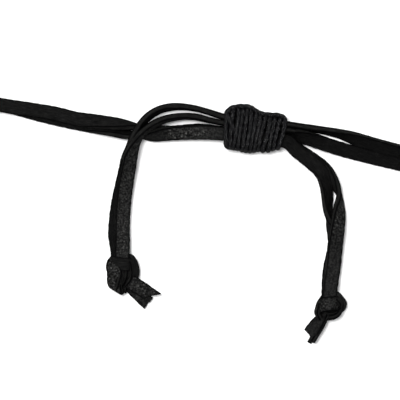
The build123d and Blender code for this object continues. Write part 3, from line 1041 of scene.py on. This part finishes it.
@dataclass
class SlidingKnot:
    """Waxed cord wound round the four laces, with the strands that lie over the wraps."""

    cord: CordStock
    finish: Finish
    turns_z: float = BORE_Z
    half_height: float = 0.00232
    squareness: float = 3.4
    wrap_points: int = 28
    wrap_resolution: int = 4
    strand_resolution: int = 10
    unevenness: float = 0.00015
    sway_waves: int = 3
    seed: int = 5

    def winding(self) -> Array:
        """The wound cord's line, wrap after wrap, over the front and back behind.

        Returns:
            Places from the closure, each wrap from the top edge over the front, under the bottom edge and
            back behind.
        """
        chance = np.random.default_rng(self.seed)
        rises = chance.uniform(-self.unevenness, self.unevenness, len(WRAPS) + 1)
        sways = chance.uniform(-self.unevenness, self.unevenness, len(WRAPS))
        share = np.arange(self.wrap_points) / self.wrap_points
        angle = 2 * math.pi * share
        sides = np.stack([np.sin(angle), np.cos(angle)])
        up, reach = np.sign(sides) * np.abs(sides) ** (2 / self.squareness)
        front, back = np.maximum(np.sin(angle), 0), np.maximum(angle / math.pi - 1, 0)
        drop = (1 - reach) / 2
        sway = front * np.sin(self.sway_waves * angle)
        wraps = np.array(WRAPS) * MM
        places = []
        for index, (row, after) in enumerate(zip(wraps, (*wraps[1:], wraps[-1]))):
            top_x, top_y, waist_x, bottom_x, bottom_y = row
            # A parabola through the waist, halfway down the front
            bend = 4 * (waist_x - (top_x + bottom_x) / 2)
            over = top_x + (bottom_x - top_x) * drop + bend * drop * (1 - drop)
            x = np.where(angle <= math.pi, over, bottom_x + (after[0] - bottom_x) * back)
            top = top_y + (after[1] - top_y) * back
            y = (top + bottom_y) / 2 + (top - bottom_y) / 2 * reach
            rise = rises[index] + (rises[index + 1] - rises[index]) * share
            z = self.turns_z + self.half_height * up + rise * front
            places.append(np.stack([x + sways[index] * sway, y, z], axis=1))
        return np.vstack(places)

    def build(self) -> Piece:
        """Make the wound knot.

        Returns:
            The piece, one plain mesh.
        """
        lines = [smooth_line(in_frame(self.winding()), self.wrap_resolution)]
        for rows in (TOP_STRAND, BOTTOM_STRAND, CROSSING_STRAND):
            lines.append(smooth_line(in_frame(np.array(rows) * MM), self.strand_resolution))
        places, edges = [], []
        for line in lines:
            first = len(places)
            places.extend(line.tolist())
            edges.extend((first + spot, first + spot + 1) for spot in range(len(line) - 1))
        mesh = bpy.data.meshes.new("cord_lines")
        mesh.from_pydata(places, edges, [])
        holder = shown("cord_lines", mesh)
        modifier = holder.modifiers.new("plied_cord", "NODES")
        modifier.node_group = self.cord.tree(self.finish)
        sizes = self.cord.sizes()
        for socket in modifier.node_group.interface.items_tree:
            if socket.item_type == "SOCKET" and socket.in_out == "INPUT" and socket.name in sizes:
                modifier[socket.identifier] = sizes[socket.name]
        graph = bpy.context.evaluated_depsgraph_get()
        made = bpy.data.meshes.new_from_object(holder.evaluated_get(graph))
        bpy.data.objects.remove(holder)
        bpy.data.meshes.remove(mesh)
        if not made.materials:
            made.materials.append(self.finish)
        return shown("wound_sliding_knot", made)


def mouth_squeeze(near: Array, share: float = 0.12, reach: float = 0.009) -> Array:
    """A lace's breadth at distances from the sliding knot, drawn narrower by a share up to a reach."""
    ease = np.clip(near / reach, 0, 1)
    return 1 - share * (1 - ease * ease * (3 - 2 * ease))


def dress(piece: Piece, finish: Finish) -> Piece:
    """Give a piece its finish, and return it."""
    piece.data.materials.append(finish)
    return piece


@dataclass
class NeckLaces:
    """The two laces of the neck loop."""

    stock: LaceStock
    finish: Finish
    fine: float = 0.0003
    coarse: float = 0.0010
    near: float = 0.066
    seed: int = 11
    seed_step: int = 7

    def route(self, right: Rows, left: Rows, offset: float, across: float, height: float) -> LaceRoute:
        """One lace's route.

        Args:
            right: rows from the knot's right mouth.
            left: rows to its left mouth.
            offset: how far it lies to the left of the loop's middle.
            across: its place in the passage where it lies on edge.
            height: its height in the passage where it lies flat.

        Returns:
            The whole route.
        """
        route = LaceRoute(self.stock.thickness)
        for along in (-JOIN, MOUTH):
            route.through(along, across, BORE_Z, ON_EDGE)
        route.drawn(right).beside(LOOP, offset).drawn(left)
        for along in (-MOUTH, JOIN):
            route.through(along, FLAT_ACROSS, height, TURNED_OVER)
        return route

    def build(self) -> dict[str, Piece]:
        """Make both laces.

        Returns:
            The pieces, by the node that each replaces.
        """
        outer = self.route(OUTER_RIGHT, OUTER_LEFT, SIDE_STEP, OUTER_ACROSS, BORE_Z - FLAT_STEP)
        inner = self.route(INNER_RIGHT, INNER_LEFT, -SIDE_STEP, INNER_ACROSS, BORE_Z + FLAT_STEP)
        pieces = {}
        for index, (node, route) in enumerate((("neck_lace_outer", outer), ("neck_lace_inner", inner))):
            line, across = route.stations(self.fine, self.coarse, self.near)
            marks = distances_along(line)
            strip = Strip(
                f"{node}_leather", line, across, self.stock, Face.FLESH, self.seed + self.seed_step * index,
                tuple((marks[-1] / MM - back, amount) for back, amount in NECK_PEBBLING_AND_TONE),
                squeeze=mouth_squeeze(np.minimum(marks, marks[-1] - marks)),
            )
            pieces[node] = dress(strip.build(), self.finish)
        return pieces


@dataclass(frozen=True)
class TailPlan:
    """One tail: its node, start in the passage, rows, real length, face and end knot.

    Its rows of pebbling and tone are those of its strip, and its squeeze is how much narrower the mouth
    draws it.
    """

    node: str
    way: int
    across: float
    height: float
    turned: float
    rows: Rows
    length: float
    face: Face
    end_node: str
    squeeze: float
    pebbling_and_tone: Rows


TAIL_PLANS = (
    # The outer left tail's rows fall to nothing further along, painting shade on the strip of it that shows
    # beside the inner tail
    TailPlan(
        "left_tail_outer", -1, OUTER_ACROSS, BORE_Z, -ON_EDGE, LEFT_TAIL_OUTER, 0.0546, Face.FLESH,
        "left_end_knot", 0.12, ((0, 0.3), (30, 0.05), (60, 0)),
    ),
    TailPlan(
        "left_tail_inner", -1, INNER_ACROSS, BORE_Z, -ON_EDGE, LEFT_TAIL_INNER, 0.0507, Face.GRAIN,
        "left_end_knot", 0.12, ((0, 0.3), (18, 0.35), (24, 0.75), (60, 0.85)),
    ),
    TailPlan(
        "right_tail_outer", 1, FLAT_ACROSS, BORE_Z - FLAT_STEP, FLAT, RIGHT_TAIL_OUTER, 0.0417, Face.FLESH,
        "right_end_knot", 0.02, ((0, 0.1), (16, 0.4), (22, 1), (28, 0.8), (32, 0.4)),
    ),
    TailPlan(
        "right_tail_inner", 1, FLAT_ACROSS, BORE_Z + FLAT_STEP, FLAT, RIGHT_TAIL_INNER, 0.0407, Face.FLESH,
        "right_end_knot", 0.02, ((0, 0.1), (40, 0.2)),
    ),
)


@dataclass
class Tails:
    """The four tails between the sliding knot and the end knots."""

    stock: LaceStock
    finish: Finish
    step: float = 0.00028
    seed: int = 41
    seed_step: int = 7
    lines: dict[str, Array] = field(default_factory=dict)

    def build(self) -> dict[str, Piece]:
        """Make the tails.

        Returns:
            The pieces, by the node that each replaces.
        """
        pieces = {}
        for index, plan in enumerate(TAIL_PLANS):
            route = LaceRoute(self.stock.thickness)
            for along in (JOIN, MOUTH):
                route.through(plan.way * along, plan.across, plan.height, plan.turned)
            line, across = route.drawn(plan.rows).stations(self.step)
            self.lines[plan.node] = line
            seed = self.seed + self.seed_step * index
            strip = Strip(
                f"{plan.node}_leather", line, across, self.stock, plan.face, seed, plan.pebbling_and_tone,
                squeeze=mouth_squeeze(distances_along(line), plan.squeeze),
            )
            pieces[plan.node] = dress(strip.build(), self.finish)
        return pieces


@dataclass
class EndKnot:
    """An overhand knot of two tails, drawn tight, with two cut ends."""

    node: str
    strips: tuple[KnotStrip, ...]
    seed: int
    stock: LaceStock
    finish: Finish
    seed_step: int = 5
    step: float = 0.0002
    fewest_rings: int = 8
    slant_share: float = 0.45
    notch: float = 0.0007

    def build(self) -> Piece:
        """Make the knot.

        Returns:
            The piece, all its turns and ends in one mesh.
        """
        made = []
        for index, strip in enumerate(self.strips):
            table = strip.table()
            line = smooth_line(in_frame(table[:, :3]))
            across = smooth_line(table[:, 3:] + np.arange(len(table))[:, None] * NUDGE)
            distances = distances_along(line)
            length = distances[-1]
            marks = np.linspace(0, length, max(self.fewest_rings, round(length / self.step)))
            made.append(Strip(
                f"{self.node}_{strip.name}", *(read_at(marks, distances, side) for side in (line, across)),
                self.stock, strip.face, self.seed + self.seed_step * index, ((0.0, strip.pebbling_and_tone),),
                width=strip.width * MM, cut_slant=strip.cut_slant * MM,
                slant_start=length * self.slant_share, notch=self.notch,
            ).build())
        with bpy.context.temp_override(active_object=made[0], selected_editable_objects=made):
            bpy.ops.object.join()
        made[0].name = f"{self.node}_leather"
        return dress(made[0], self.finish)


# Node, strips and seed
END_KNOTS = (("left_end_knot", LEFT_KNOT_STRIPS, 101), ("right_end_knot", RIGHT_KNOT_STRIPS, 201))


@dataclass(frozen=True)
class Softbox:
    """A square soft light: its place from the middle of the picture, its side and its power."""

    name: str
    place: Place
    size: float
    power: float


SOFTBOXES = (
    Softbox("overhead_softbox", (-0.16, 0.14, 1.05), 0.26, 12.3),
    Softbox("back_softbox", (0.05, 0.80, 0.60), 0.60, 2.6),
    Softbox("front_softbox", (-0.10, -0.78, 0.60), 0.60, 1.7),
    Softbox("left_softbox", (-0.82, 0.08, 0.52), 0.50, 2.0),
    Softbox("right_softbox", (0.82, 0.10, 0.52), 0.50, 1.5),
)


@dataclass
class Studio:
    """A plain pale floor, soft light from all round and a long lens straight above."""

    floor_size: float = 6.0
    floor_drop: float = 0.00002
    floor_colour: Colour = (0.94, 0.94, 0.94)
    floor_roughness: float = 0.9
    floor_specular: float = 0.1
    sky_colour: Colour = (1.0, 1.0, 1.0)
    sky_strength: float = 0.30
    view_x: float = -0.0030
    view_y: float = 0.0473
    view_width: float = 0.0900
    distance: float = 0.85
    sharp_height: float = 0.0025
    sensor: float = 36.0
    clip_start: float = 0.01

    def build(self) -> None:
        """Make the floor, the lights, the sky and the camera."""
        self._floor()
        self._sky()
        for softbox in SOFTBOXES:
            self._light(softbox)
        self._camera()
        bpy.context.scene.view_settings.view_transform = "Standard"

    def _floor(self) -> None:
        """The pale surface that the necklace lies on."""
        half, low = self.floor_size / 2, -self.floor_drop
        corners = np.array([(-half, -half, low), (half, -half, low), (half, half, low), (-half, half, low)])
        material, bench = new_material("pale_floor")
        shader = bench.out("ShaderNodeBsdfPrincipled", {
            "Base Color": (*self.floor_colour, 1.0), "Roughness": self.floor_roughness,
            "Specular IOR Level": self.floor_specular,
        })
        bench.add("ShaderNodeOutputMaterial", {0: shader})
        dress(mesh_object("studio_floor", corners, [(0, 1, 2, 3)]), material)

    def _sky(self) -> None:
        """Even white light from every side."""
        world = bpy.data.worlds.new("studio_sky")
        bpy.context.scene.world = world
        world.use_nodes = True
        inputs = world.node_tree.nodes["Background"].inputs
        inputs["Color"].default_value = (*self.sky_colour, 1.0)
        inputs["Strength"].default_value = self.sky_strength

    def _light(self, softbox: Softbox) -> None:
        """Add a softbox aimed at the necklace."""
        data = bpy.data.lights.new(softbox.name, "AREA")
        data.shape = "SQUARE"
        data.size = softbox.size
        data.energy = softbox.power
        light = bpy.data.objects.new(softbox.name, data)
        target = Vector((self.view_x, self.view_y, 0))
        light.location = Vector(softbox.place) + target
        light.rotation_euler = (target - light.location).to_track_quat("-Z", "Y").to_euler()
        bpy.context.scene.collection.objects.link(light)

    def _camera(self) -> None:
        """The camera, straight above the closure."""
        data = bpy.data.cameras.new("camera")
        data.sensor_width = self.sensor
        data.lens = self.sensor * (self.distance - self.sharp_height) / self.view_width
        data.clip_start = self.clip_start
        camera = bpy.data.objects.new("camera", data)
        camera.location = (self.view_x, self.view_y, self.distance)
        bpy.context.scene.collection.objects.link(camera)
        bpy.context.scene.camera = camera


def stand_for(piece: Piece, node: str) -> None:
    """Let a piece ride on the necklace in place of a solid, and hide that solid."""
    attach(piece, "root")
    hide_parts(node)
    LOG.info("%s stands for %s, %d faces", piece.name, node, len(piece.data.polygons))


def main() -> None:
    """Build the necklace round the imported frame, and its studio."""
    logging.basicConfig(level=logging.INFO, format="%(name)s: %(message)s")
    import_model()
    fibres, specks = fibre_group(), dust_group()
    leather = LaceLeather().build(fibres, specks)
    waxed = WaxedCord().build(fibres, specks)
    stock, drawn = LaceStock(), LaceStock(thickness=DRAWN_THICKNESS, cupping=DRAWN_CUPPING)
    Studio().build()

    stand_for(SlidingKnot(CordStock(), waxed).build(), "sliding_knot")
    tails = Tails(stock, leather)
    pieces = NeckLaces(stock, leather).build() | tails.build()
    for node, strips, seed in END_KNOTS:
        pieces[node] = EndKnot(node, strips, seed, drawn, leather).build()
    for node, piece in pieces.items():
        stand_for(piece, node)


if __name__ == "__main__":
    main()
